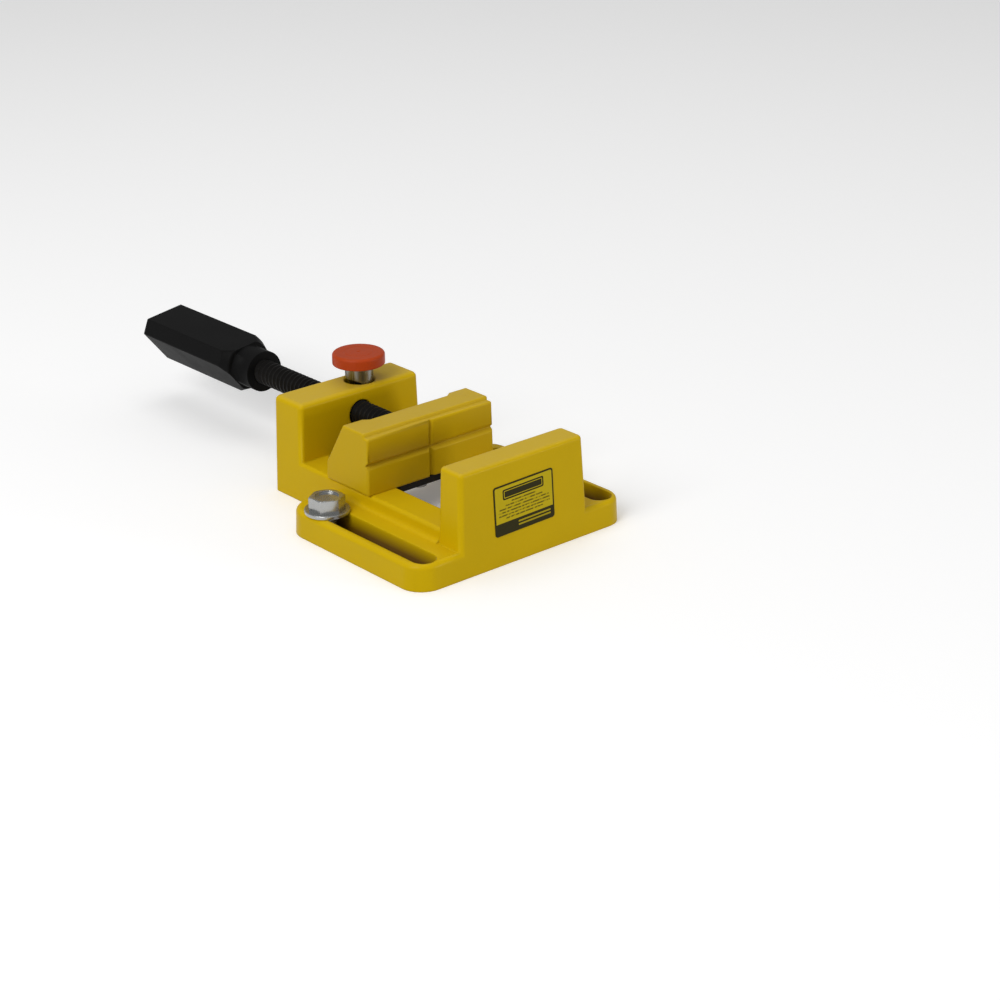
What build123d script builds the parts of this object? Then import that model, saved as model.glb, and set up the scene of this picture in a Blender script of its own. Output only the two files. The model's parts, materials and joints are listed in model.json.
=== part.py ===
from build123d import *
import math
import os

# A drill press vise with a quick-release screw.
# X runs across the jaws, +Y along the screw towards the handle and +Z up.
# The origin is the middle of the base casting's underside, on the screw's centre line.
# The moving jaw is drawn partly open, as far as jaw_opening says.

# Base casting
base_length = 123.8
ear_ledge = 22.15
ear_length = 86.8
ear_height = 11.0
ear_front_radius = 10.0
ear_rear_radius = 12.0
ear_edge_radius = 2.2
body_width = 65.5
side_draft = 0.039
rail_height = 16.9
rail_flange = 6.5
rail_gap = 38.0
rail_edge_radius = 1.6
rail_foot_radius = 2.0
gap_corner_radius = 3.0
keeper_channel_width = 56.0

# Fixed jaw
fixed_jaw_thickness = 14.8
fixed_jaw_height = 42.9
fixed_jaw_width = 67.1
fixed_jaw_side_draft = 0.044
fixed_jaw_corner_radius = 2.1
fixed_jaw_edge_radius = 1.7
front_draft = 0.043

# Screw upright
upright_thickness = 18.7
upright_height = 42.4
upright_corner_radius = 2.2
upright_edge_radius = 2.4

# Bolt slots in the ears
slot_width = 10.6
slot_side_margin = 8.9
slot_front_margin = 2.4
slot_length = 74.0

# Moving jaw
jaw_opening = 43.4
jaw_width = 66.6
jaw_side_draft = 0.028
jaw_height = 26.0
jaw_top_depth = 16.4
jaw_sole_depth = 27.3
jaw_back_height = 7.6
jaw_ledge_depth = 2.7
jaw_ledge_drop = 1.6
jaw_edge_radius = 0.9
vee_width = 3.4
vee_height = 12.7
cross_vee_width = 2.9
back_relief_width = 40.6
back_relief_depth = 2.0
back_relief_run_out = 3.0

# Jaw guide, keeper and their screws
sole_clearance = 0.05
guide_clearance = 0.2
guide_plate_thickness = 3.0
guide_plate_setback = 0.5
guide_corner_radius = 3.0
keeper_clearance = 0.15
keeper_thickness = 3.5
keeper_side_clearance = 2.0
keeper_depth = 10.0
keeper_back_margin = 0.5
keeper_neck_clearance = 4.0
keeper_screw_diameter = 4.0
keeper_screw_spacing = 20.0
keeper_screw_reach = 6.2
keeper_head_diameter = 7.0
keeper_head_height = 2.4
screw_slot_width = 1.0
screw_slot_depth = 1.2
lock_washer_diameter = 7.4
lock_washer_thickness = 0.8
screw_hole_clearance = 0.1

# Lead screw, its journal in the moving jaw and its retaining pin
screw_diameter = 11.0
screw_height = 31.3
upright_bore_clearance = 0.5
journal_diameter = 8.0
journal_clearance = 0.05
journal_length = 13.6
groove_diameter = 5.4
groove_width = 3.2
groove_end_margin = 4.5
retaining_pin_diameter = 3.0
retaining_pin_length = 20.0
groove_pin_clearance = 0.05
spotface_diameter = 14.0
spotface_place = 16.9
thrust_washer_diameter = 13.0
thrust_washer_thickness = 1.0
thrust_clearance = 0.05

# Handle
collar_face_gap = 51.2
collar_diameter = 18.4
collar_length = 11.1
grip_start = 17.3
grip_length = 59.8
grip_wide_face = 18.9
grip_narrow_face = 7.1
grip_turn = 8.9
grip_cone_slope = 0.42
grip_edge_radius = 0.7
grip_end_chamfer = 0.6
shoulder_radius = 10.9
tang_width = 7.6
tang_start = 12.0
tang_length = 40.0
handle_pin_diameter = 3.0
handle_pin_place = 5.5

# Release pin, button and spring
release_offset = 6.7
release_setback = 9.5
release_diameter = 12.0
release_bore_clearance = 0.1
release_bore_chamfer = 1.0
release_bore_floor = 6.0
release_travel = 6.5
release_foot = 7.0
thread_clearance = 0.05
free_clearance = 0.5
button_diameter = 22.4
button_thickness = 5.0
button_rim = 1.3
button_gap = 7.3
spigot_diameter = 8.0
spigot_length = 2.6
spring_wire = 1.0
spring_diameter = 10.4
spring_turns = 4
spring_chords = 12

# Clamping bolts and washers
bolt_diameter = 8.0
left_bolt_end_margin = 7.6
right_bolt_end_margin = 30.0
bolt_head_flats = 13.0
bolt_head_turn = -28.0
bolt_head_height = 5.4
bolt_head_chamfer = 0.7
bolt_head_dish = 0.8
bolt_head_rim = 1.6
bolt_tip_clearance = 0.3
bolt_tip_chamfer = 0.8
washer_diameter = 18.6
washer_hole = 8.4
washer_thickness = 1.6

# Label on the fixed jaw
label_width = 30.8
label_height = 20.8
label_thickness = 0.2
label_corner_radius = 1.2
label_centre_x = -0.3
label_centre_z = 23.2
label_turn = 1.1

# Places worked out from the sizes above
front_y = -base_length / 2
back_y = base_length / 2
clamp_y = front_y + fixed_jaw_thickness
upright_y = back_y - upright_thickness
ear_back_y = front_y + ear_length
jaw_face_y = clamp_y + jaw_opening
sole_z = rail_height + sole_clearance
jaw_top_z = sole_z + jaw_height
jaw_back_y = jaw_face_y + jaw_sole_depth
guide_bottom_z = sole_z - guide_plate_thickness
flange_z = rail_height - rail_flange
keeper_width = keeper_channel_width - 2 * keeper_side_clearance
keeper_neck_width = rail_gap - 2 * keeper_neck_clearance
keeper_top_z = flange_z - keeper_clearance
keeper_bottom_z = keeper_top_z - keeper_thickness
keeper_back_y = jaw_back_y - keeper_back_margin
keeper_y = keeper_back_y - keeper_depth / 2
lock_washer_z = keeper_bottom_z - lock_washer_thickness
spotface_y = jaw_face_y + spotface_place
shoulder_y = spotface_y + thrust_washer_thickness + thrust_clearance
journal_end_y = shoulder_y - journal_length
groove_y = journal_end_y + groove_end_margin + groove_width / 2
retaining_pin_x = groove_diameter / 2 + retaining_pin_diameter / 2 + groove_pin_clearance
collar_y = back_y + collar_face_gap
release_y = back_y - release_setback
release_axis = (release_offset, release_y)
pin_foot_z = screw_height - screw_diameter / 2 - release_foot
button_z = upright_height + button_gap
ear_span = body_width + 2 * ear_ledge
slot_spacing = ear_span - 2 * slot_side_margin
slot_y = front_y + slot_front_margin + slot_length / 2
left_bolt_y = slot_y + slot_length / 2 - left_bolt_end_margin
right_bolt_y = slot_y + slot_length / 2 - right_bolt_end_margin


def prism_y(points, y0, y1):
    """A prism along Y whose section is given by (x, z) points."""
    outline = Plane.XZ * make_face(Polyline([(x, z) for x, z in points], close=True))
    return Pos(0, y0, 0) * extrude(outline, amount=y1 - y0, dir=(0, 1, 0))


def prism_x(points, half_width):
    """A prism along X, centred on x = 0, whose section is given by (y, z) points."""
    outline = make_face(Polyline([(0, y, z) for y, z in points], close=True))
    return extrude(outline, amount=half_width, dir=(1, 0, 0), both=True)


def rod_z(diameter, z0, z1, x=0.0, y=0.0):
    """An upright cylinder from z0 to z1."""
    return Pos(x, y, (z0 + z1) / 2) * Cylinder(diameter / 2, z1 - z0)


def rod_y(diameter, y0, y1, x=0.0, z=screw_height):
    """A cylinder along Y from y0 to y1, on the screw's centre line unless told otherwise."""
    return Pos(x, (y0 + y1) / 2, z) * Rot(90, 0, 0) * Cylinder(diameter / 2, y1 - y0)


def block(x0, x1, y0, y1, z0, z1):
    """A box between two corners."""
    return Pos((x0 + x1) / 2, (y0 + y1) / 2, (z0 + z1) / 2) * Box(x1 - x0, y1 - y0, z1 - z0)


def drafted_wall(width, height, draft, y0, y1):
    """An upright wall whose two sides lean in by the draft."""
    half = width / 2
    top = half - draft * height
    return prism_y([(-half, 0), (half, 0), (top, height), (-top, height)], y0, y1)


def make_ears():
    """The flat plate of the base, wider than the body, with a soft top edge."""
    half = ear_span / 2
    outline = make_face(Polyline([
        (-half, front_y), (half, front_y), (half, ear_back_y), (-half, ear_back_y)], close=True))
    corners = outline.vertices().group_by(Axis.Y)
    outline = fillet(corners[0], ear_front_radius)
    rear = [v for v in outline.vertices() if abs(v.Y - ear_back_y) < 0.01]
    outline = fillet(rear, ear_rear_radius)
    plate = extrude(outline, amount=ear_height, taper=math.degrees(math.atan(front_draft)))
    return fillet(plate.faces().sort_by(Axis.Z)[-1].edges(), ear_edge_radius)


def make_rail_foot(side):
    """The hollow-rounded foot between a rail's flank and the ear."""
    flank = body_width / 2 - side_draft * ear_height
    r = rail_foot_radius
    path = Polyline([(-flank + 1, ear_height - 1), (-flank - r, ear_height - 1), (-flank - r, ear_height)])
    hollow = RadiusArc((-flank - r, ear_height), (-flank, ear_height + r), -r)
    close = Polyline([(-flank, ear_height + r), (-flank + 1, ear_height + r), (-flank + 1, ear_height - 1)])
    outline = Plane.XZ * make_face(path + hollow + close)
    foot = Pos(0, clamp_y, 0) * extrude(
        outline, amount=ear_back_y - ear_edge_radius - clamp_y, dir=(0, 1, 0))
    return foot if side < 0 else mirror(foot, about=Plane.YZ)


def make_fixed_jaw():
    """The front wall: drafted sides, a leaning front and soft top edges."""
    wall = drafted_wall(fixed_jaw_width, fixed_jaw_height, fixed_jaw_side_draft, front_y, clamp_y)
    lean = front_draft * fixed_jaw_height
    wedge = prism_x([(front_y, 0), (front_y + lean, fixed_jaw_height), (front_y - 1, fixed_jaw_height),
                     (front_y - 1, 0)], fixed_jaw_width)
    wall = wall - wedge
    upright_edges = wall.edges().filter_by(lambda e: e.bounding_box().size.Z > fixed_jaw_height / 2)
    wall = fillet(upright_edges, fixed_jaw_corner_radius)
    return fillet(wall.faces().sort_by(Axis.Z)[-1].edges(), fixed_jaw_edge_radius)


def make_upright():
    """The rear wall that carries the screw, with soft edges at its back and top."""
    wall = drafted_wall(body_width, upright_height, side_draft, upright_y, back_y)
    tall = wall.edges().filter_by(lambda e: e.bounding_box().size.Z > upright_height / 2)
    wall = fillet(tall, upright_corner_radius)
    return fillet(wall.faces().sort_by(Axis.Z)[-1].edges(), upright_edge_radius)


def make_base_casting():
    """Ears, rails, fixed jaw and screw upright in one casting."""
    rails = drafted_wall(body_width, rail_height, side_draft, clamp_y - 1, upright_y + upright_corner_radius + 1)
    top_edges = rails.edges().filter_by(Axis.Y).group_by(Axis.Z)[-1]
    rails = fillet(top_edges, rail_edge_radius)
    casting = make_ears() + rails + make_fixed_jaw() + make_upright()
    casting = casting + make_rail_foot(-1) + make_rail_foot(1)

    gap_outline = RectangleRounded(rail_gap, upright_y - clamp_y, gap_corner_radius)
    gap = Pos(0, (clamp_y + upright_y) / 2, -1) * extrude(gap_outline, amount=rail_height + 2)
    channel = block(-keeper_channel_width / 2, keeper_channel_width / 2, clamp_y, upright_y, -1, flange_z)
    casting = casting - gap - channel

    for side in (-1, 1):
        slot = extrude(Rot(0, 0, 90) * SlotOverall(slot_length, slot_width), amount=ear_height + 2)
        casting = casting - Pos(side * slot_spacing / 2, slot_y, -1) * slot

    screw_bore = rod_y(screw_diameter + 2 * upright_bore_clearance, upright_y - 1, back_y + 1)
    bore_diameter = release_diameter + 2 * release_bore_clearance
    release_bore = rod_z(bore_diameter, release_bore_floor, upright_height + 1, *release_axis)
    mouth = Pos(release_offset, release_y, upright_height - release_bore_chamfer / 2) * Cone(
        bore_diameter / 2, bore_diameter / 2 + release_bore_chamfer, release_bore_chamfer)
    return casting - screw_bore - release_bore - mouth


def make_front_label():
    """A thin sticker on the leaning front of the fixed jaw, set a little askew."""
    lean = math.degrees(math.atan(front_draft))
    face = Plane(
        origin=(label_centre_x, front_y + front_draft * label_centre_z, label_centre_z),
        x_dir=(math.cos(math.radians(label_turn)), 0, math.sin(math.radians(label_turn))),
        z_dir=(0, -math.cos(math.radians(lean)), math.sin(math.radians(lean))))
    return extrude(face * RectangleRounded(label_width, label_height, label_corner_radius),
                   amount=label_thickness)


def make_back_relief():
    """The shallow hollow down the jaw's sloping back, with sides that lean outwards."""
    run = jaw_sole_depth - jaw_top_depth
    rise = jaw_height - jaw_back_height
    slope = Plane(origin=(0, jaw_back_y, sole_z + jaw_back_height), x_dir=(1, 0, 0), z_dir=(0, -run, rise))
    half = back_relief_width / 2
    wide = half + 2 * back_relief_run_out
    outline = make_face(slope * Polyline([
        (-half, -back_relief_depth), (half, -back_relief_depth), (wide, back_relief_depth),
        (-wide, back_relief_depth)], close=True))
    return extrude(outline, amount=2 * rise, dir=(0, -run, rise))


def make_moving_jaw():
    """The sliding jaw: wedge-shaped, with a ledge, two vee grooves and the screw's socket."""
    ledge_z = jaw_top_z - jaw_ledge_drop
    profile = [
        (jaw_face_y, sole_z), (jaw_face_y, ledge_z), (jaw_face_y + jaw_ledge_depth, ledge_z),
        (jaw_face_y + jaw_ledge_depth, jaw_top_z), (jaw_face_y + jaw_top_depth, jaw_top_z),
        (jaw_back_y, sole_z + jaw_back_height), (jaw_back_y, sole_z)]
    jaw = prism_x(profile, jaw_width / 2)
    for side in (-1, 1):
        half = jaw_width / 2
        lean = jaw_side_draft * jaw_height
        shave = prism_y([(half, sole_z), (half - lean, jaw_top_z), (half + 1, jaw_top_z), (half + 1, sole_z)],
                        jaw_face_y - 1, jaw_back_y + 1)
        jaw = jaw - (shave if side > 0 else mirror(shave, about=Plane.YZ))
    sharp = [(jaw_face_y, sole_z), (jaw_back_y, sole_z), (jaw_face_y + jaw_ledge_depth, ledge_z)]
    soft = [e for e in jaw.edges() if not any(
        abs(e.center().Y - y) < 0.01 and abs(e.center().Z - z) < 0.01 for y, z in sharp)]
    jaw = fillet(soft, jaw_edge_radius)
    jaw = jaw - make_back_relief()

    v = vee_width / 2
    level = sole_z + vee_height
    jaw = jaw - prism_x([(jaw_face_y - v, level - 2 * v), (jaw_face_y + v, level),
                         (jaw_face_y - v, level + 2 * v)], jaw_width)
    c = cross_vee_width / 2
    groove = make_face(Polyline([(-2 * c, jaw_face_y - c), (0, jaw_face_y + c), (2 * c, jaw_face_y - c)], close=True))
    jaw = jaw - Pos(0, 0, sole_z - 1) * extrude(groove, amount=jaw_height + 2)

    socket = rod_y(journal_diameter + 2 * journal_clearance, journal_end_y - 0.5, jaw_back_y + 1)
    spotface = rod_y(spotface_diameter, spotface_y, jaw_back_y + 1)
    pin_hole = rod_z(retaining_pin_diameter, sole_z - 1, sole_z + retaining_pin_length, retaining_pin_x, groove_y)
    jaw = jaw - socket - spotface - pin_hole
    for side in (-1, 1):
        jaw = jaw - rod_z(keeper_screw_diameter, sole_z - 1, sole_z + keeper_screw_reach,
                          side * keeper_screw_spacing / 2, keeper_y)
    return jaw


def make_guide_plate():
    """The steel plate under the jaw that runs between the rails."""
    width = rail_gap - 2 * guide_clearance
    depth = jaw_sole_depth - guide_plate_setback
    outline = RectangleRounded(width, depth, guide_corner_radius)
    plate = Pos(0, jaw_face_y + guide_plate_setback + depth / 2, guide_bottom_z) * extrude(
        outline, amount=guide_plate_thickness)
    for side in (-1, 1):
        plate = plate - rod_z(keeper_screw_diameter + 2 * screw_hole_clearance, guide_bottom_z - 1, sole_z + 1,
                              side * keeper_screw_spacing / 2, keeper_y)
    return plate


def make_keeper_bar():
    """The T-shaped bar that hooks under both rails and holds the jaw down."""
    half = keeper_width / 2
    neck = keeper_neck_width / 2
    bar = prism_y([
        (-half, keeper_bottom_z), (half, keeper_bottom_z), (half, keeper_top_z), (neck, keeper_top_z),
        (neck, guide_bottom_z), (-neck, guide_bottom_z), (-neck, keeper_top_z), (-half, keeper_top_z)],
        keeper_back_y - keeper_depth, keeper_back_y)
    for side in (-1, 1):
        bar = bar - rod_z(keeper_screw_diameter + 2 * screw_hole_clearance, keeper_bottom_z - 1, guide_bottom_z + 1,
                          side * keeper_screw_spacing / 2, keeper_y)
    return bar


def make_keeper_screw(side):
    """A slotted cheese-head screw driven up through the keeper into the jaw."""
    x = side * keeper_screw_spacing / 2
    head_bottom = lock_washer_z - keeper_head_height
    head = rod_z(keeper_head_diameter, head_bottom, lock_washer_z, x, keeper_y)
    slot = block(x - keeper_head_diameter, x + keeper_head_diameter, keeper_y - screw_slot_width / 2,
                 keeper_y + screw_slot_width / 2, head_bottom - 1, head_bottom + screw_slot_depth)
    shank = rod_z(keeper_screw_diameter, lock_washer_z - 0.1, sole_z + keeper_screw_reach, x, keeper_y)
    return head - slot + shank


def make_ring(outer, inner, z0, thickness, x, y):
    """A flat washer lying on z0."""
    return rod_z(outer, z0, z0 + thickness, x, y) - rod_z(inner, z0 - 1, z0 + thickness + 1, x, y)


def make_thrust_washer():
    """The washer between the screw's shoulder and the jaw's spotface."""
    y1 = spotface_y + thrust_washer_thickness
    return rod_y(thrust_washer_diameter, spotface_y, y1) - rod_y(
        journal_diameter + 2 * journal_clearance, spotface_y - 1, y1 + 1)


def make_retaining_pin():
    """The pin in the jaw that stands in the journal's groove and keeps the screw in."""
    return rod_z(retaining_pin_diameter, sole_z, sole_z + retaining_pin_length, retaining_pin_x, groove_y)


def make_lead_screw():
    """Journal, thread at its crest diameter, and the square tang inside the handle."""
    thread_end = collar_y + tang_start
    screw = rod_y(screw_diameter, shoulder_y, thread_end)
    journal = rod_y(journal_diameter, journal_end_y, shoulder_y + 0.1)
    groove = rod_y(journal_diameter + 1, groove_y - groove_width / 2, groove_y + groove_width / 2) - rod_y(
        groove_diameter, groove_y - groove_width, groove_y + groove_width)
    tang = Rot(0, -grip_turn, 0) * block(
        -tang_width / 2, tang_width / 2, thread_end - 0.1, thread_end + tang_length, -tang_width / 2, tang_width / 2)
    screw = screw + (journal - groove) + Pos(0, 0, screw_height) * tang
    return screw - handle_pin_rod()


def handle_pin_rod():
    """The cross pin's place, through collar and screw."""
    return Pos(0, collar_y + handle_pin_place, screw_height) * Rot(0, 90 - grip_turn, 0) * Cylinder(
        handle_pin_diameter / 2, collar_diameter - 0.6)


def make_grip_section():
    """A triangle with clipped corners, turned about the screw's centre line."""
    triangle_side = grip_wide_face + 2 * grip_narrow_face
    inner = triangle_side / (2 * math.sqrt(3))
    points = [(grip_wide_face / 2, inner)]
    heading = 180.0
    for step in range(5):
        length = grip_wide_face if step % 2 == 0 else grip_narrow_face
        x, z = points[-1]
        points.append((x + length * math.cos(math.radians(heading)), z + length * math.sin(math.radians(heading))))
        heading += 60.0
    return points


def make_handle():
    """A three-sided grip whose near end is turned down to a round collar."""
    grip_y = collar_y + grip_start
    end_y = grip_y + grip_length
    section = make_grip_section()
    bar = prism_y(section, collar_y, end_y)
    bar = fillet(bar.edges().filter_by(Axis.Y), grip_edge_radius)
    bar = chamfer(bar.faces().sort_by(Axis.Y)[-1].edges(), grip_end_chamfer)
    bar = Rot(0, -grip_turn, 0) * bar
    collar_end = collar_y + collar_length
    outer_radius = math.hypot(*section[0]) + 1
    cone_end = collar_end + (outer_radius - shoulder_radius) / grip_cone_slope
    turned = make_face(Polyline([
        (0, collar_y), (collar_diameter / 2, collar_y), (collar_diameter / 2, collar_end),
        (shoulder_radius, collar_end), (outer_radius, cone_end), (outer_radius, end_y + 1), (0, end_y + 1)],
        close=True))
    envelope = revolve(turned, Axis.Y)
    collar = rod_y(collar_diameter, collar_y, grip_y, z=0.0)
    handle = Pos(0, 0, screw_height) * ((bar & envelope) + collar)
    return handle - make_lead_screw() - handle_pin_rod()


def make_release_pin():
    """The plunger beside the screw: a thread seat at rest, a free notch above it for the pressed state."""
    top = button_z + spigot_length
    pin = rod_z(release_diameter, pin_foot_z, button_z, *release_axis)
    pin = pin + rod_z(spigot_diameter, button_z - 0.1, top, *release_axis)
    y0 = release_y - release_diameter
    y1 = release_y + release_diameter
    seat_radius = screw_diameter / 2 + thread_clearance
    free_radius = screw_diameter / 2 + free_clearance
    seat = rod_y(2 * seat_radius, y0, y1)
    free = rod_y(2 * free_radius, y0, y1, z=screw_height + release_travel)
    path = block(-seat_radius, seat_radius, y0, y1, screw_height, screw_height + release_travel)
    return pin - seat - free - path


def make_release_button():
    """The round push cap on the plunger's spigot."""
    radius = button_diameter / 2
    steep = button_rim * (1 - math.sqrt(0.5))
    profile = make_face(Polyline([
        (0, 0), (radius - steep, 0), (radius, steep), (radius, button_thickness - button_rim),
        (radius - steep, button_thickness - steep), (radius - button_rim, button_thickness),
        (0, button_thickness)], close=True))
    cap = Pos(release_offset, release_y, button_z) * revolve(Plane.XZ * profile, Axis.Z)
    return cap - rod_z(spigot_diameter, button_z - 1, button_z + spigot_length, *release_axis)


def make_release_spring():
    """The coil spring between the bore's floor and the plunger's foot, in short straight chords."""
    coil_height = pin_foot_z - release_bore_floor - spring_wire
    radius = (spring_diameter - spring_wire) / 2
    steps = spring_turns * spring_chords
    points = []
    for step in range(steps + 1):
        angle = 2 * math.pi * step / spring_chords
        points.append((radius * math.cos(angle), radius * math.sin(angle), coil_height * step / steps))
    path = Polyline(points)
    section = Plane(origin=points[0], z_dir=path % 0) * RegularPolygon(spring_wire / 2, 6)
    coil = sweep(section, path=path, transition=Transition.RIGHT)
    return Pos(release_offset, release_y, release_bore_floor + spring_wire / 2) * coil


def make_bolt(x, y):
    """A hexagon bolt with a dished head, standing in an ear slot."""
    seat_z = ear_height + washer_thickness
    hexagon = RegularPolygon(bolt_head_flats / 2, 6, major_radius=False)
    head = extrude(hexagon, amount=bolt_head_height)
    corner = bolt_head_flats / math.sqrt(3)
    cone = make_face(Polyline([
        (0, 0), (corner + 1, 0), (corner + 1, bolt_head_height - bolt_head_chamfer),
        (corner - 2 * bolt_head_chamfer, bolt_head_height), (0, bolt_head_height)], close=True))
    envelope = revolve(Plane.XZ * cone, Axis.Z)
    dish = Pos(0, 0, bolt_head_height) * Cylinder(bolt_head_flats / 2 - bolt_head_rim, 2 * bolt_head_dish)
    head = (head & envelope) - dish
    shank = rod_z(bolt_diameter, bolt_tip_clearance, seat_z + 0.1, x, y)
    shank = chamfer(shank.edges().filter_by(GeomType.CIRCLE).sort_by(Axis.Z)[0], bolt_tip_chamfer)
    return Pos(x, y, seat_z) * Rot(0, 0, bolt_head_turn) * head + shank


parts = {
    "base_casting": make_base_casting(),
    "front_label": make_front_label(),
    "moving_jaw": make_moving_jaw(),
    "guide_plate": make_guide_plate(),
    "keeper_bar": make_keeper_bar(),
    "screw_retaining_pin": make_retaining_pin(),
    "thrust_washer": make_thrust_washer(),
    "lead_screw": make_lead_screw(),
    "handle_grip": make_handle(),
    "handle_pin": handle_pin_rod(),
    "release_pin": make_release_pin(),
    "release_button": make_release_button(),
    "release_spring": make_release_spring(),
}
for side, name, bolt_y in ((-1, "left", left_bolt_y), (1, "right", right_bolt_y)):
    keeper_x = side * keeper_screw_spacing / 2
    bolt_x = side * slot_spacing / 2
    parts[f"keeper_screw_{name}"] = make_keeper_screw(side)
    parts[f"keeper_washer_{name}"] = make_ring(
        lock_washer_diameter, keeper_screw_diameter, lock_washer_z, lock_washer_thickness, keeper_x, keeper_y)
    parts[f"bolt_{name}"] = make_bolt(bolt_x, bolt_y)
    parts[f"washer_{name}"] = make_ring(
        washer_diameter, washer_hole, ear_height, washer_thickness, bolt_x, bolt_y)

os.makedirs("parts", exist_ok=True)
for name, solid in parts.items():
    export_step(solid, f"parts/{name}.step")
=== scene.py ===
import json
import math

import bmesh
import bpy
from mathutils import Matrix, Vector


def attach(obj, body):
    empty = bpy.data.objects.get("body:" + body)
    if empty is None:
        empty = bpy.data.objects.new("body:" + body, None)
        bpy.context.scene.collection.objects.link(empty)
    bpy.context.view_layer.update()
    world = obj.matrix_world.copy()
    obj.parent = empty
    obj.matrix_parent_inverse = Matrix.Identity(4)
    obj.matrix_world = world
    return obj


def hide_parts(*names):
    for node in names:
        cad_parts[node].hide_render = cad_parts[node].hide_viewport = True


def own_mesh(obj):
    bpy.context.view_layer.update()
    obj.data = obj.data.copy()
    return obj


# The looks of a drill press vise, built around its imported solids.
# Sizes are in metres unless a name ends in _mm. X runs across the jaws, +Y towards the handle and +Z up.

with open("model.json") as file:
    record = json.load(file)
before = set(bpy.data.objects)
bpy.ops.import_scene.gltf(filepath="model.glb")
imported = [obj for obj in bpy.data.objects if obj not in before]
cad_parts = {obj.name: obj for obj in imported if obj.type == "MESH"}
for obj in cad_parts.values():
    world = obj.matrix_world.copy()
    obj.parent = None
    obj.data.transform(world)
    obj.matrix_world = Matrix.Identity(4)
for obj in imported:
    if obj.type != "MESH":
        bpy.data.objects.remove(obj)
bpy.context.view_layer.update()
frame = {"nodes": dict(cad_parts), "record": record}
nodes = frame["nodes"]
body_members = frame["record"]["behaviour"]["bodies"]
bodies = {member: body for body, members in body_members.items() for member in members}

MM = 0.001

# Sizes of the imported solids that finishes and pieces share

BOLT_X_MM = 46.0
EAR_TOP_MM = 11.0
SLOT_MIDDLE_Y_MM = -22.5
SLOT_STRAIGHT_HALF_MM = 31.7
SLOT_HALF_WIDTH_MM = 5.3


# Shared mesh tools

def finish_piece(bm, name, node, material, sharp_degrees=32.0):
    """Turns a bmesh into a piece that stands for a CAD node, with smooth faces and crisp edges."""
    mesh = bpy.data.meshes.new(name)
    bm.to_mesh(mesh)
    bm.free()
    mesh.shade_smooth()
    mesh.set_sharp_from_angle(angle=math.radians(sharp_degrees))
    piece = bpy.data.objects.new(name, mesh)
    bpy.context.scene.collection.objects.link(piece)
    weighted = piece.modifiers.new("even_shading", "WEIGHTED_NORMAL")
    weighted.keep_sharp = True
    mesh.materials.append(material)
    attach(piece, bodies[node])
    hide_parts(node)
    return piece


def merged_copy(node):
    """A bmesh of a CAD node with its loose triangles joined and its flat faces whole."""
    bm = bmesh.new()
    bm.from_mesh(nodes[node].data)
    bmesh.ops.remove_doubles(bm, verts=bm.verts, dist=1e-6)
    bmesh.ops.dissolve_limit(bm, angle_limit=math.radians(0.2), use_dissolve_boundaries=False, verts=bm.verts,
                             edges=bm.edges, delimit={"NORMAL"})
    return bm


def turned(outline, steps):
    """A bmesh turned about Z from a closed outline of (radius, z) points in millimetres."""
    bm = bmesh.new()
    verts = [bm.verts.new((r * MM, 0, z * MM)) for r, z in outline]
    edges = [bm.edges.new((a, b)) for a, b in zip(verts, verts[1:] + verts[:1])]
    bmesh.ops.spin(bm, geom=verts + edges, cent=(0, 0, 0), axis=(0, 0, 1), dvec=(0, 0, 0),
                   angle=2 * math.pi, steps=steps, use_merge=True, use_duplicate=False)
    bmesh.ops.remove_doubles(bm, verts=bm.verts, dist=1e-7)
    bmesh.ops.recalc_face_normals(bm, faces=bm.faces)
    return bm


def quarter(centre_r, centre_z, radius, start_degrees, steps=6):
    """Points of a quarter round in an outline of (radius, z) points."""
    points = []
    for i in range(steps + 1):
        a = math.radians(start_degrees + 90.0 * i / steps)
        points.append((centre_r + radius * math.cos(a), centre_z + radius * math.sin(a)))
    return points


def helical_thread(crest_mm, root_mm, pitch_mm, start_mm, end_mm, steps):
    """A bmesh of an outside thread about Z, cut square and closed at both ends."""
    # One pitch of the profile: a radius, and how far along the pitch it stands
    outline = [(root_mm, 0.0), (root_mm, 0.16), (crest_mm, 0.42), (crest_mm, 0.58), (root_mm, 0.84),
               (root_mm, 1.0)]
    turns = math.ceil((end_mm - start_mm) / pitch_mm) + 3
    first = start_mm - 1.5 * pitch_mm
    bm = bmesh.new()
    verts = [bm.verts.new((r * MM, 0, (first + share * pitch_mm) * MM)) for r, share in outline]
    edges = [bm.edges.new((a, b)) for a, b in zip(verts, verts[1:])]
    bmesh.ops.spin(bm, geom=verts + edges, cent=(0, 0, 0), axis=(0, 0, 1), dvec=(0, 0, pitch_mm * MM / steps),
                   angle=2 * math.pi * turns, steps=steps * turns, use_merge=False, use_duplicate=False)
    bmesh.ops.remove_doubles(bm, verts=bm.verts, dist=1e-7)
    for level, outwards in ((start_mm, -1), (end_mm, 1)):
        bmesh.ops.bisect_plane(bm, geom=bm.verts[:] + bm.edges[:] + bm.faces[:], dist=1e-8,
                               plane_co=(0, 0, level * MM), plane_no=(0, 0, outwards), clear_outer=True)
        rim = [e for e in bm.edges if e.is_boundary and all(abs(v.co.z - level * MM) < 1e-6 for v in e.verts)]
        bmesh.ops.edgeloop_fill(bm, edges=rim)
    bmesh.ops.recalc_face_normals(bm, faces=bm.faces)
    return bm


def join(target, other):
    """Adds one bmesh to another and frees it."""
    scratch = bpy.data.meshes.new("scratch")
    other.to_mesh(scratch)
    other.free()
    target.from_mesh(scratch)
    bpy.data.meshes.remove(scratch)


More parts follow.
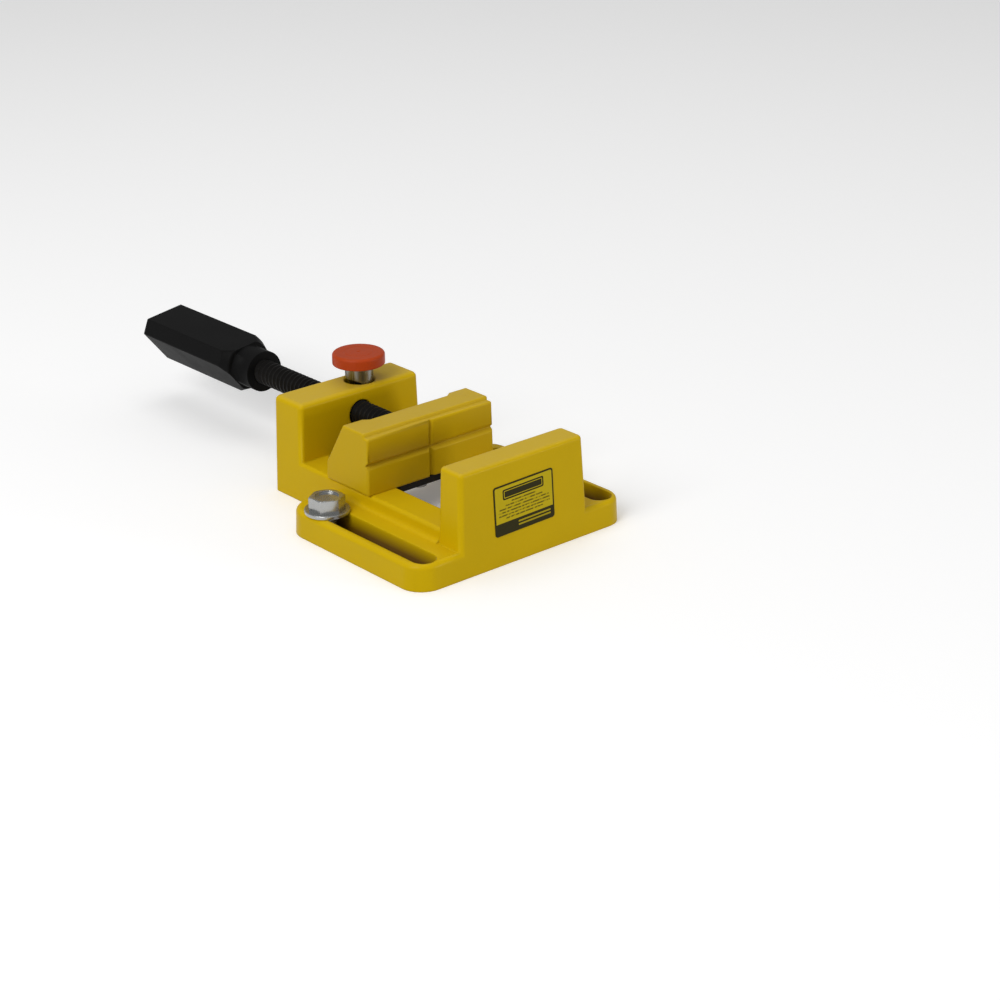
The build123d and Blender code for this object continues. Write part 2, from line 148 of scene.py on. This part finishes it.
def cut_away(bm, low, high, axis):
    """Removes what lies between two planes across an axis, and closes the two ends left."""
    normal = Vector([1.0 if i == axis else 0.0 for i in range(3)])
    for level in (low, high):
        bmesh.ops.bisect_plane(bm, geom=bm.verts[:] + bm.edges[:] + bm.faces[:], dist=1e-8,
                               plane_co=normal * level, plane_no=normal)
    between = [f for f in bm.faces if low < f.calc_center_median()[axis] < high]
    bmesh.ops.delete(bm, geom=between, context="FACES")
    rims = [e for e in bm.edges if e.is_boundary]
    bmesh.ops.edgeloop_fill(bm, edges=rims)


# Shared shader effects

def new_group(name, inputs, outputs):
    """An empty shader node group with its sockets."""
    group = bpy.data.node_groups.new(name, "ShaderNodeTree")
    for socket, kind, value in inputs:
        made = group.interface.new_socket(socket, in_out="INPUT", socket_type=kind)
        if value is not None:
            made.default_value = value
    for socket, kind in outputs:
        group.interface.new_socket(socket, in_out="OUTPUT", socket_type=kind)
    return group, group.nodes.new("NodeGroupInput"), group.nodes.new("NodeGroupOutput")


def math_node(tree, operation, a, b=None):
    """A Math node whose inputs are sockets or numbers."""
    node = tree.nodes.new("ShaderNodeMath")
    node.operation = operation
    for socket, value in zip(node.inputs, (a, b)):
        if value is None:
            continue
        if isinstance(value, (int, float)):
            socket.default_value = value
        else:
            tree.links.new(value, socket)
    return node.outputs[0]


def mix_colour(tree, factor, a, b):
    """A colour Mix node whose inputs are sockets or colours."""
    node = tree.nodes.new("ShaderNodeMix")
    node.data_type = "RGBA"
    for socket, value in ((node.inputs[0], factor), (node.inputs[6], a), (node.inputs[7], b)):
        if isinstance(value, (int, float, tuple)):
            socket.default_value = value
        else:
            tree.links.new(value, socket)
    return node.outputs[2]


def ramp(tree, value, low, high, out_low=0.0, out_high=1.0):
    """A clamped Map Range from one span to another."""
    node = tree.nodes.new("ShaderNodeMapRange")
    tree.links.new(value, node.inputs["Value"])
    for socket, number in zip(("From Min", "From Max", "To Min", "To Max"), (low, high, out_low, out_high)):
        node.inputs[socket].default_value = number
    return node.outputs["Result"]


def noise(tree, vector, scale, detail=2.0):
    """A noise value at a scale per metre."""
    node = tree.nodes.new("ShaderNodeTexNoise")
    tree.links.new(vector, node.inputs["Vector"])
    node.inputs["Scale"].default_value = scale
    node.inputs["Detail"].default_value = detail
    return node.outputs["Fac"]


def build_mottle_group():
    """Colour that drifts a little over a surface, in broad clouds and fine specks."""
    group, inputs, outputs = new_group(
        "mottled_colour",
        [("Vector", "NodeSocketVector", None), ("Base", "NodeSocketColor", None),
         ("Amount", "NodeSocketFloat", 0.06), ("Cloud Scale", "NodeSocketFloat", 40.0),
         ("Speck Scale", "NodeSocketFloat", 900.0)],
        [("Color", "NodeSocketColor"), ("Value", "NodeSocketFloat")])
    values = []
    for socket, detail in (("Cloud Scale", 3.0), ("Speck Scale", 1.0)):
        node = group.nodes.new("ShaderNodeTexNoise")
        node.inputs["Detail"].default_value = detail
        group.links.new(inputs.outputs["Vector"], node.inputs["Vector"])
        group.links.new(inputs.outputs[socket], node.inputs["Scale"])
        values.append(node.outputs["Fac"])
    blend = math_node(group, "ADD", math_node(group, "MULTIPLY", values[0], 0.65),
                      math_node(group, "MULTIPLY", values[1], 0.35))
    centred = math_node(group, "SUBTRACT", blend, 0.5)
    swing = math_node(group, "MULTIPLY", math_node(group, "MULTIPLY", centred, inputs.outputs["Amount"]), 4.0)
    gain = math_node(group, "ADD", swing, 1.0)
    scaled = group.nodes.new("ShaderNodeVectorMath")
    scaled.operation = "SCALE"
    group.links.new(inputs.outputs["Base"], scaled.inputs[0])
    group.links.new(gain, scaled.inputs["Scale"])
    group.links.new(scaled.outputs[0], outputs.inputs["Color"])
    group.links.new(blend, outputs.inputs["Value"])
    return group


def build_edge_group():
    """A mask of the outer edges of a piece, from how far a rounded normal leans off the true one."""
    group, inputs, outputs = new_group(
        "edge_mask",
        [("Radius", "NodeSocketFloat", 0.0006), ("Strength", "NodeSocketFloat", 1.0)],
        [("Mask", "NodeSocketFloat")])
    bevel = group.nodes.new("ShaderNodeBevel")
    bevel.samples = 6
    group.links.new(inputs.outputs["Radius"], bevel.inputs["Radius"])
    geometry = group.nodes.new("ShaderNodeNewGeometry")
    dot = group.nodes.new("ShaderNodeVectorMath")
    dot.operation = "DOT_PRODUCT"
    group.links.new(bevel.outputs["Normal"], dot.inputs[0])
    group.links.new(geometry.outputs["Normal"], dot.inputs[1])
    away = math_node(group, "SUBTRACT", 1.0, dot.outputs["Value"])
    mask = ramp(group, away, 0.02, 0.25)
    group.links.new(math_node(group, "MULTIPLY", mask, inputs.outputs["Strength"]), outputs.inputs["Mask"])
    return group


def build_panel_group():
    """A soft-edged rounded rectangle on the X and Z of a vector, 1 inside and 0 outside."""
    group, inputs, outputs = new_group(
        "rounded_panel",
        [("Vector", "NodeSocketVector", None), ("Centre X", "NodeSocketFloat", 0.0),
         ("Centre Z", "NodeSocketFloat", 0.0), ("Half Width", "NodeSocketFloat", 0.01),
         ("Half Height", "NodeSocketFloat", 0.01), ("Corner", "NodeSocketFloat", 0.001)],
        [("Mask", "NodeSocketFloat")])
    parts = group.nodes.new("ShaderNodeSeparateXYZ")
    group.links.new(inputs.outputs["Vector"], parts.inputs[0])
    beyond = []
    for axis, centre, half in (("X", "Centre X", "Half Width"), ("Z", "Centre Z", "Half Height")):
        offset = math_node(group, "SUBTRACT", parts.outputs[axis], inputs.outputs[centre])
        away = math_node(group, "ABSOLUTE", offset)
        flat = math_node(group, "SUBTRACT", inputs.outputs[half], inputs.outputs["Corner"])
        beyond.append(math_node(group, "SUBTRACT", away, flat))
    outside = [math_node(group, "MAXIMUM", b, 0.0) for b in beyond]
    squares = math_node(group, "ADD", math_node(group, "MULTIPLY", outside[0], outside[0]),
                        math_node(group, "MULTIPLY", outside[1], outside[1]))
    inside = math_node(group, "MINIMUM", math_node(group, "MAXIMUM", beyond[0], beyond[1]), 0.0)
    distance = math_node(group, "SUBTRACT", math_node(group, "ADD", math_node(group, "SQRT", squares), inside),
                         inputs.outputs["Corner"])
    group.links.new(ramp(group, distance, -0.00006, 0.00006, 1.0, 0.0), outputs.inputs["Mask"])
    return group


def build_top_sheen_group():
    """A mask of painted sheen on the faces that look up, a little uneven and mostly on the high ones."""
    group, inputs, outputs = new_group(
        "painted_top_sheen",
        [("Vector", "NodeSocketVector", None), ("Amount", "NodeSocketFloat", 0.1)],
        [("Mask", "NodeSocketFloat")])
    geometry = group.nodes.new("ShaderNodeNewGeometry")
    parts = group.nodes.new("ShaderNodeSeparateXYZ")
    group.links.new(geometry.outputs["Normal"], parts.inputs[0])
    upward = ramp(group, parts.outputs["Z"], 0.55, 0.98)
    height = group.nodes.new("ShaderNodeSeparateXYZ")
    group.links.new(inputs.outputs["Vector"], height.inputs[0])
    high_faces = ramp(group, height.outputs["Z"], 0.018, 0.038, 0.1, 1.0)
    patches = ramp(group, noise(group, inputs.outputs["Vector"], 260.0, detail=3.0), 0.3, 0.7, 0.75, 1.0)
    uneven = math_node(group, "MULTIPLY", inputs.outputs["Amount"], patches)
    amount = math_node(group, "MULTIPLY", uneven, high_faces)
    group.links.new(math_node(group, "MULTIPLY", upward, amount), outputs.inputs["Mask"])
    return group


mottle_group = build_mottle_group()
top_sheen_group = build_top_sheen_group()
edge_group = build_edge_group()
panel_group = build_panel_group()


def use_group(tree, group, **values):
    """Places a node group and sets or links its inputs by name."""
    node = tree.nodes.new("ShaderNodeGroup")
    node.node_tree = group
    for key, value in values.items():
        socket = node.inputs[key.replace("_", " ")]
        if isinstance(value, (int, float, tuple)):
            socket.default_value = value
        else:
            tree.links.new(value, socket)
    return node


def new_material(name, roughness, metallic=0.0, specular=0.5):
    """A material with a Principled shader, and its tree, shader and Object coordinates."""
    material = bpy.data.materials.new(name)
    material.use_nodes = True
    tree = material.node_tree
    shader = tree.nodes["Principled BSDF"]
    shader.inputs["Roughness"].default_value = roughness
    shader.inputs["Metallic"].default_value = metallic
    shader.inputs["Specular IOR Level"].default_value = specular
    place = tree.nodes.new("ShaderNodeTexCoord").outputs["Object"]
    return material, tree, shader, place


def add_bump(tree, shader, height, distance, strength, radius=None):
    """Feeds a height to the shader's normal, over edges rounded by the radius if one is given."""
    bump = tree.nodes.new("ShaderNodeBump")
    bump.inputs["Strength"].default_value = strength
    bump.inputs["Distance"].default_value = distance
    tree.links.new(height, bump.inputs["Height"])
    if radius:
        bevel = tree.nodes.new("ShaderNodeBevel")
        bevel.samples = 6
        bevel.inputs["Radius"].default_value = radius
        tree.links.new(bevel.outputs["Normal"], bump.inputs["Normal"])
    tree.links.new(bump.outputs["Normal"], shader.inputs["Normal"])


# Finishes

def slot_painted_shade(tree, place):
    """A mask of painted shade on the bolt slots' walls, stronger towards the table."""
    parts = tree.nodes.new("ShaderNodeSeparateXYZ")
    tree.links.new(place, parts.inputs[0])
    aside = math_node(tree, "SUBTRACT", math_node(tree, "ABSOLUTE", parts.outputs["X"]), BOLT_X_MM * MM)
    along = math_node(tree, "ABSOLUTE", math_node(tree, "SUBTRACT", parts.outputs["Y"], SLOT_MIDDLE_Y_MM * MM))
    beyond = math_node(tree, "MAXIMUM", math_node(tree, "SUBTRACT", along, SLOT_STRAIGHT_HALF_MM * MM), 0.0)
    squares = math_node(tree, "ADD", math_node(tree, "MULTIPLY", aside, aside),
                        math_node(tree, "MULTIPLY", beyond, beyond))
    distance = math_node(tree, "SQRT", squares)
    inside = ramp(tree, distance, (SLOT_HALF_WIDTH_MM + 0.1) * MM, (SLOT_HALF_WIDTH_MM + 0.4) * MM, 1.0, 0.0)
    depth = ramp(tree, parts.outputs["Z"], 5.0 * MM, (EAR_TOP_MM - 0.2) * MM, 0.92, 0.0)
    return math_node(tree, "MULTIPLY", inside, depth)


def make_paint(name, colour, light, roughness, specular):
    """Enamel over a smooth casting: orange peel, slow waves, lighter edges as a painted highlight, a painted
    sheen on what looks up and painted shade in the bolt slots.
    """
    material, tree, shader, place = new_material(name, roughness, specular=specular)
    mottle = use_group(tree, mottle_group, Vector=place, Base=colour, Amount=0.035, Cloud_Scale=55.0,
                       Speck_Scale=1400.0)
    # painted highlight: the outer edges are mixed towards the lighter colour given as light, standing for light
    # caught on the rounded edges
    edges = use_group(tree, edge_group, Radius=0.0012, Strength=0.28)
    edged = mix_colour(tree, edges.outputs["Mask"], mottle.outputs["Color"], light)
    # painted sheen: faces that look up, mostly the high ones, are paled towards a grey-beige that stands for
    # reflected light
    top_sheen = use_group(tree, top_sheen_group, Vector=place, Amount=0.07)
    top_sheened = mix_colour(tree, top_sheen.outputs["Mask"], edged, (0.62, 0.58, 0.45, 1.0))
    # painted shade: the slot walls are mixed towards a dark brown, deepest towards the table
    slot_shaded = mix_colour(tree, slot_painted_shade(tree, place), top_sheened, (0.11, 0.043, 0.0, 1.0))
    tree.links.new(slot_shaded, shader.inputs["Base Color"])
    tree.links.new(ramp(tree, mottle.outputs["Value"], 0.35, 0.65, roughness - 0.05, roughness + 0.06),
                   shader.inputs["Roughness"])
    peel = noise(tree, place, 620.0, detail=1.0)
    waves = noise(tree, place, 90.0, detail=2.0)
    height = math_node(tree, "ADD", math_node(tree, "MULTIPLY", peel, 0.35),
                       math_node(tree, "MULTIPLY", waves, 0.65))
    add_bump(tree, shader, height, 0.00012, strength=0.6, radius=0.0009)
    return material


def make_metal(name, colour, roughness, grain_mm, grain_depth, cloud=0.12, metallic=1.0):
    """Metal with clouded colour and gloss, a fine grain and brighter edges painted as a highlight."""
    material, tree, shader, place = new_material(name, roughness, metallic=metallic)
    mottle = use_group(tree, mottle_group, Vector=place, Base=colour, Amount=cloud, Cloud_Scale=160.0,
                       Speck_Scale=2600.0)
    edges = use_group(tree, edge_group, Radius=0.0004, Strength=0.8)
    # painted highlight: the edges are mixed towards a colour nearly twice as bright as the metal
    light = tuple(min(1.0, 1.9 * c) for c in colour[:3]) + (1.0,)
    edged = mix_colour(tree, edges.outputs["Mask"], mottle.outputs["Color"], light)
    tree.links.new(edged, shader.inputs["Base Color"])
    tree.links.new(ramp(tree, mottle.outputs["Value"], 0.3, 0.7, roughness - 0.07, roughness + 0.09),
                   shader.inputs["Roughness"])
    add_bump(tree, shader, noise(tree, place, 1.0 / (grain_mm * MM), detail=2.0), grain_depth, strength=0.5,
             radius=0.0002)
    return material


def make_black_oxide():
    """Oiled black steel: nearly black, with brown-grey bloom on its edges."""
    material, tree, shader, place = new_material("black_oxide", 0.38, specular=0.14)
    mottle = use_group(tree, mottle_group, Vector=place, Base=(0.0065, 0.0058, 0.0052, 1.0), Amount=0.2,
                       Cloud_Scale=120.0, Speck_Scale=1800.0)
    edges = use_group(tree, edge_group, Radius=0.0003, Strength=0.5)
    tree.links.new(mix_colour(tree, edges.outputs["Mask"], mottle.outputs["Color"], (0.022, 0.020, 0.018, 1.0)),
                   shader.inputs["Base Color"])
    tree.links.new(ramp(tree, mottle.outputs["Value"], 0.3, 0.7, 0.30, 0.46), shader.inputs["Roughness"])
    add_bump(tree, shader, noise(tree, place, 1500.0, detail=2.0), 0.00003, strength=0.4)
    return material


def make_plastic(name, colour, light, roughness, grain_scale, grain_depth, specular):
    """Moulded plastic with a fine spark-eroded grain and slightly worn edges."""
    material, tree, shader, place = new_material(name, roughness, specular=specular)
    mottle = use_group(tree, mottle_group, Vector=place, Base=colour, Amount=0.08, Cloud_Scale=70.0,
                       Speck_Scale=1600.0)
    edges = use_group(tree, edge_group, Radius=0.0006, Strength=0.4)
    edged = mix_colour(tree, edges.outputs["Mask"], mottle.outputs["Color"], light)
    tree.links.new(edged, shader.inputs["Base Color"])
    tree.links.new(ramp(tree, mottle.outputs["Value"], 0.3, 0.7, roughness - 0.05, roughness + 0.07),
                   shader.inputs["Roughness"])
    grain = noise(tree, place, grain_scale, detail=2.0)
    add_bump(tree, shader, grain, grain_depth, strength=0.5, radius=0.0003)
    return material


def make_label_film():
    """A printed film: dark frame, a plain dark plate above, plain rules and a dark band below.

    A panel is given by its middle, half width, half height and corner radius, in millimetres on the film.
    """
    material, tree, shader, place = new_material("label_film", 0.33, specular=0.09)
    mapping = tree.nodes.new("ShaderNodeMapping")
    mapping.vector_type = "TEXTURE"
    mapping.inputs["Location"].default_value = (-0.3 * MM, -60.9 * MM, 23.2 * MM)
    mapping.inputs["Rotation"].default_value = (0, math.radians(-1.1), 0)
    tree.links.new(place, mapping.inputs["Vector"])
    flat = mapping.outputs["Vector"]

    def panel(x, z, half_width, half_height, corner):
        return use_group(tree, panel_group, Vector=flat, Centre_X=x * MM, Centre_Z=z * MM,
                         Half_Width=half_width * MM, Half_Height=half_height * MM,
                         Corner=corner * MM).outputs["Mask"]

    plate_x, plate_z = -0.2, 6.2
    plate = panel(plate_x, plate_z, 10.6, 2.2, 0.8)
    band = panel(0, -7.8, 15.2, 2.6, 0.3)
    ink = math_node(tree, "SUBTRACT", 1.0, panel(0, 0, 14.72, 9.72, 0.7))
    for mark in (plate, band):
        ink = math_node(tree, "MAXIMUM", ink, mark)
    breaks = ramp(tree, noise(tree, flat, 900.0, detail=0.0), 0.38, 0.46, 0.2, 0.78)
    rules = ((2.9, 6.4), (1.6, 9.6), (0.3, 12.8), (-1.0, 13.4), (-2.3, 13.2), (-3.6, 9.6))
    for z, half_width in rules:
        rule = math_node(tree, "MULTIPLY", panel(0, z, half_width, 0.3, 0.2), breaks)
        ink = math_node(tree, "MAXIMUM", ink, rule)
    line = math_node(tree, "SUBTRACT", panel(plate_x, plate_z, 9.9, 1.55, 0.5),
                     panel(plate_x, plate_z, 9.6, 1.25, 0.3))
    ink = math_node(tree, "SUBTRACT", ink, line)
    for z in (-6.7, -8.1):
        light_rule = math_node(tree, "MULTIPLY", panel(5.0, z, 8.4, 0.34, 0.2), 0.75)
        ink = math_node(tree, "SUBTRACT", ink, light_rule)
    mottle = use_group(tree, mottle_group, Vector=place, Base=(0.57, 0.43, 0.006, 1.0), Amount=0.03,
                       Cloud_Scale=60.0, Speck_Scale=1500.0)
    tree.links.new(mix_colour(tree, ink, mottle.outputs["Color"], (0.03, 0.025, 0.003, 1.0)),
                   shader.inputs["Base Color"])
    tree.links.new(ramp(tree, ink, 0.0, 1.0, 0.34, 0.26), shader.inputs["Roughness"])
    add_bump(tree, shader, noise(tree, place, 350.0, detail=1.0), 0.00004, strength=0.4)
    return material


# The second colour of each paint is its painted edge highlight.
casting_paint = make_paint("casting_paint", (0.63, 0.418, 0.001, 1.0), (0.76, 0.57, 0.01, 1.0), 0.34, 0.08)
jaw_paint = make_paint("jaw_paint", (0.585, 0.385, 0.003, 1.0), (0.7, 0.52, 0.04, 1.0), 0.4, 0.11)
zinc_plate = make_metal("zinc_plate", (0.42, 0.425, 0.42, 1.0), 0.24, 1.2, 0.00001, cloud=0.03,
                        metallic=0.88)
# painted shade: a darker copy of the plated steel for the stem that stands in the shade under the button
shaded_plated_steel = make_metal("shaded_plated_steel", (0.25, 0.24, 0.22, 1.0), 0.3, 1.0, 0.000005, cloud=0.03)
bright_steel = make_metal("bright_steel", (0.42, 0.42, 0.42, 1.0), 0.34, 0.3, 0.00002)
tempered_steel = make_metal("tempered_steel", (0.2, 0.2, 0.21, 1.0), 0.4, 0.3, 0.00001)
black_oxide = make_black_oxide()
grip_plastic = make_plastic("grip_plastic", (0.0078, 0.0078, 0.0078, 1.0), (0.018, 0.018, 0.018, 1.0), 0.46,
                            1300.0, 0.00003, specular=0.035)
button_plastic = make_plastic("button_plastic", (0.44, 0.052, 0.008, 1.0), (0.5, 0.09, 0.03, 1.0), 0.42, 1500.0,
                              0.00002, specular=0.12)
label_film = make_label_film()


# Pieces that keep their CAD shape, with joined faces

kept_shapes = {
    "base_casting": (casting_paint, "body_paint"),
    "moving_jaw": (jaw_paint, "jaw_paint"),
    "front_label": (label_film, "label_film"),
    "guide_plate": (black_oxide, "black_steel"),
    "keeper_bar": (bright_steel, "plain_steel"),
    "keeper_screw_left": (bright_steel, "plain_steel"),
    "keeper_screw_right": (bright_steel, "plain_steel"),
    "keeper_washer_left": (tempered_steel, "spring_steel"),
    "keeper_washer_right": (tempered_steel, "spring_steel"),
    "screw_retaining_pin": (bright_steel, "plain_steel"),
    "thrust_washer": (bright_steel, "plain_steel"),
    "handle_grip": (grip_plastic, "grip_plastic"),
    "handle_pin": (black_oxide, "black_steel"),
    "release_pin": (shaded_plated_steel, "plated_steel"),
}
for node, (material, slot) in kept_shapes.items():
    finish_piece(merged_copy(node), "shown_" + node, node, material)


# Lead screw: the CAD ends with a true thread between them

SCREW_HEIGHT_MM = 31.3
SCREW_CREST_MM = 5.5
SCREW_ROOT_MM = 4.3
SCREW_PITCH_MM = 2.7
THREAD_START_MM = 14.3
THREAD_END_MM = 115.0


def make_screw():
    """The black lead screw with its rolled thread."""
    bm = merged_copy("lead_screw")
    cut_away(bm, THREAD_START_MM * MM, THREAD_END_MM * MM, 1)
    thread = helical_thread(SCREW_CREST_MM, SCREW_ROOT_MM, SCREW_PITCH_MM, THREAD_START_MM, THREAD_END_MM,
                            steps=48)
    bmesh.ops.transform(thread, matrix=Matrix.Translation((0, 0, SCREW_HEIGHT_MM * MM))
                        @ Matrix.Rotation(math.radians(-90), 4, "X"), verts=thread.verts)
    join(bm, thread)
    finish_piece(bm, "threaded_screw", "lead_screw", black_oxide, 28.0)


make_screw()


# Table bolts and washers

LEFT_BOLT_Y_MM = 6.9
RIGHT_BOLT_Y_MM = -15.5
BOLT_CREST_MM = 4.0
BOLT_ROOT_MM = 3.4
BOLT_PITCH_MM = 1.25
BOLT_TIP_MM = 0.3
WASHER_RADIUS_MM = 9.3
WASHER_HOLE_RADIUS_MM = 4.2
WASHER_TOP_MM = 12.6
WASHER_LIFT_MM = 0.02


def make_bolt(node, x, y):
    """A plated hexagon bolt: the CAD head over a threaded shank."""
    bm = merged_copy(node)
    cut_away(bm, -0.01, EAR_TOP_MM * MM, 2)
    thread = helical_thread(BOLT_CREST_MM, BOLT_ROOT_MM, BOLT_PITCH_MM, BOLT_TIP_MM, EAR_TOP_MM, steps=32)
    bmesh.ops.translate(thread, vec=(x * MM, y * MM, 0), verts=thread.verts)
    join(bm, thread)
    finish_piece(bm, "threaded_" + node, node, zinc_plate, 28.0)


def make_washer(node, x, y):
    """A plated washer with rolled edges."""
    soft = 0.35
    low = EAR_TOP_MM + WASHER_LIFT_MM
    high = WASHER_TOP_MM
    outside = WASHER_RADIUS_MM - soft
    inside = WASHER_HOLE_RADIUS_MM + soft
    outline = (quarter(outside, high - soft, soft, 0) + quarter(inside, high - soft, soft, 90)
               + quarter(inside, low + soft, soft, 180) + quarter(outside, low + soft, soft, 270))
    bm = turned(outline, steps=72)
    bmesh.ops.translate(bm, vec=(x * MM, y * MM, 0), verts=bm.verts)
    finish_piece(bm, "rolled_" + node, node, zinc_plate, 50.0)


for name, x, y in (("left", -BOLT_X_MM, LEFT_BOLT_Y_MM), ("right", BOLT_X_MM, RIGHT_BOLT_Y_MM)):
    make_bolt("bolt_" + name, x, y)
    make_washer("washer_" + name, x, y)


# Release button and spring

RELEASE_X_MM = 6.7
RELEASE_Y_MM = 52.4
BUTTON_LOW_MM = 49.7
BUTTON_TOP_MM = 54.7


def make_button():
    """The moulded push cap: soft rim, a faint turned ring and the gate mark in the middle."""
    radius = 11.2
    rim = 1.3
    foot = 0.4
    spigot_radius = 4.0
    spigot_depth = 2.6
    outline = [(0.0, BUTTON_LOW_MM + spigot_depth), (spigot_radius, BUTTON_LOW_MM + spigot_depth),
               (spigot_radius, BUTTON_LOW_MM)]
    outline += quarter(radius - foot, BUTTON_LOW_MM + foot, foot, 270, 4)
    outline += quarter(radius - rim, BUTTON_TOP_MM - rim, rim, 0, 8)
    turned_ring = [(6.3, BUTTON_TOP_MM), (6.1, BUTTON_TOP_MM - 0.12), (5.9, BUTTON_TOP_MM)]
    gate_mark = [(0.9, BUTTON_TOP_MM), (0.7, BUTTON_TOP_MM - 0.15), (0.0, BUTTON_TOP_MM - 0.15)]
    outline += turned_ring + gate_mark
    bm = turned(outline, steps=96)
    bmesh.ops.translate(bm, vec=(RELEASE_X_MM * MM, RELEASE_Y_MM * MM, 0), verts=bm.verts)
    finish_piece(bm, "push_button", "release_button", button_plastic, 50.0)


def make_spring():
    """The coil spring under the plunger, with a mesh of its own."""
    turns = 4
    steps = 24
    low, high, wire, radius = 6.0, 18.8, 0.5, 4.7
    bm = bmesh.new()
    bmesh.ops.create_circle(bm, cap_ends=False, segments=10, radius=wire * MM)
    bmesh.ops.rotate(bm, verts=bm.verts, cent=(0, 0, 0), matrix=Matrix.Rotation(math.radians(90), 3, "X"))
    bmesh.ops.translate(bm, vec=(radius * MM, 0, (low + wire) * MM), verts=bm.verts)
    rise = (high - low - 2 * wire) * MM / (turns * steps)
    bmesh.ops.spin(bm, geom=bm.verts[:] + bm.edges[:], cent=(0, 0, 0), axis=(0, 0, 1), dvec=(0, 0, rise),
                   angle=2 * math.pi * turns, steps=turns * steps, use_merge=False, use_duplicate=False)
    bmesh.ops.edgeloop_fill(bm, edges=[e for e in bm.edges if e.is_boundary])
    bmesh.ops.recalc_face_normals(bm, faces=bm.faces)
    bmesh.ops.translate(bm, vec=(RELEASE_X_MM * MM, RELEASE_Y_MM * MM, 0), verts=bm.verts)
    spring = finish_piece(bm, "coil_spring", "release_spring", tempered_steel, 50.0)
    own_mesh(spring)


make_button()
make_spring()


# Floor, light and camera

def make_floor():
    """A plain pale floor: near white where it is seen or mirrored, greyer for the light it throws back."""
    bm = bmesh.new()
    bmesh.ops.create_grid(bm, x_segments=1, y_segments=1, size=6.0)
    mesh = bpy.data.meshes.new("floor")
    bm.to_mesh(mesh)
    bm.free()
    floor = bpy.data.objects.new("floor", mesh)
    bpy.context.scene.collection.objects.link(floor)
    material = bpy.data.materials.new("floor_pale")
    material.use_nodes = True
    tree = material.node_tree
    shader = tree.nodes["Principled BSDF"]
    path = tree.nodes.new("ShaderNodeLightPath").outputs
    mirrored = math_node(tree, "MAXIMUM", path["Is Glossy Ray"], path["Is Transmission Ray"])
    seen = math_node(tree, "MAXIMUM", path["Is Camera Ray"], mirrored)
    shade = mix_colour(tree, seen, (0.55, 0.55, 0.55, 1.0), (0.97, 0.97, 0.97, 1.0))
    tree.links.new(shade, shader.inputs["Base Color"])
    shader.inputs["Emission Color"].default_value = (1.0, 1.0, 1.0, 1.0)
    tree.links.new(math_node(tree, "MULTIPLY", seen, 0.17), shader.inputs["Emission Strength"])
    shader.inputs["Roughness"].default_value = 0.9
    shader.inputs["Specular IOR Level"].default_value = 0.1
    mesh.materials.append(material)


def add_softbox(name, place, target, size, watts):
    """A square area lamp that looks at a point."""
    data = bpy.data.lights.new(name, "AREA")
    data.shape = "SQUARE"
    data.size = size
    data.energy = watts
    lamp = bpy.data.objects.new(name, data)
    bpy.context.scene.collection.objects.link(lamp)
    lamp.location = place
    lamp.rotation_euler = (Vector(target) - Vector(place)).to_track_quat("-Z", "Y").to_euler()


def set_world(strength):
    """An even white surround."""
    world = bpy.data.worlds.new("studio")
    bpy.context.scene.world = world
    world.use_nodes = True
    background = world.node_tree.nodes["Background"]
    background.inputs["Color"].default_value = (1.0, 1.0, 1.0, 1.0)
    background.inputs["Strength"].default_value = strength


def add_camera():
    """The camera at the photograph's angle, with no shift."""
    data = bpy.data.cameras.new("camera")
    data.sensor_width = 36.0
    data.lens = 83.8
    data.clip_start = 0.05
    data.clip_end = 20.0
    camera = bpy.data.objects.new("camera", data)
    bpy.context.scene.collection.objects.link(camera)
    heading = Matrix.Rotation(math.radians(-40.56), 4, "Z")
    tilt = Matrix.Rotation(math.radians(90 - 23.029), 4, "X")
    roll = Matrix.Rotation(math.radians(-0.708), 4, "Z")
    camera.matrix_world = Matrix.Translation((-0.5522, -0.6913, 0.3805)) @ heading @ tilt @ roll
    bpy.context.scene.camera = camera


make_floor()
add_softbox("key", (-1.25, -0.3, 1.1), (0, 0, 0.03), 0.9, 15.0)
add_softbox("overhead", (0.1, 0.3, 1.5), (0, 0, 0.03), 1.1, 3.8)
add_softbox("front_fill", (0.65, -1.15, 0.17), (0, 0, 0.03), 0.26, 3.7)
set_world(0.37)
add_camera()
bpy.context.scene.view_settings.view_transform = "Standard"
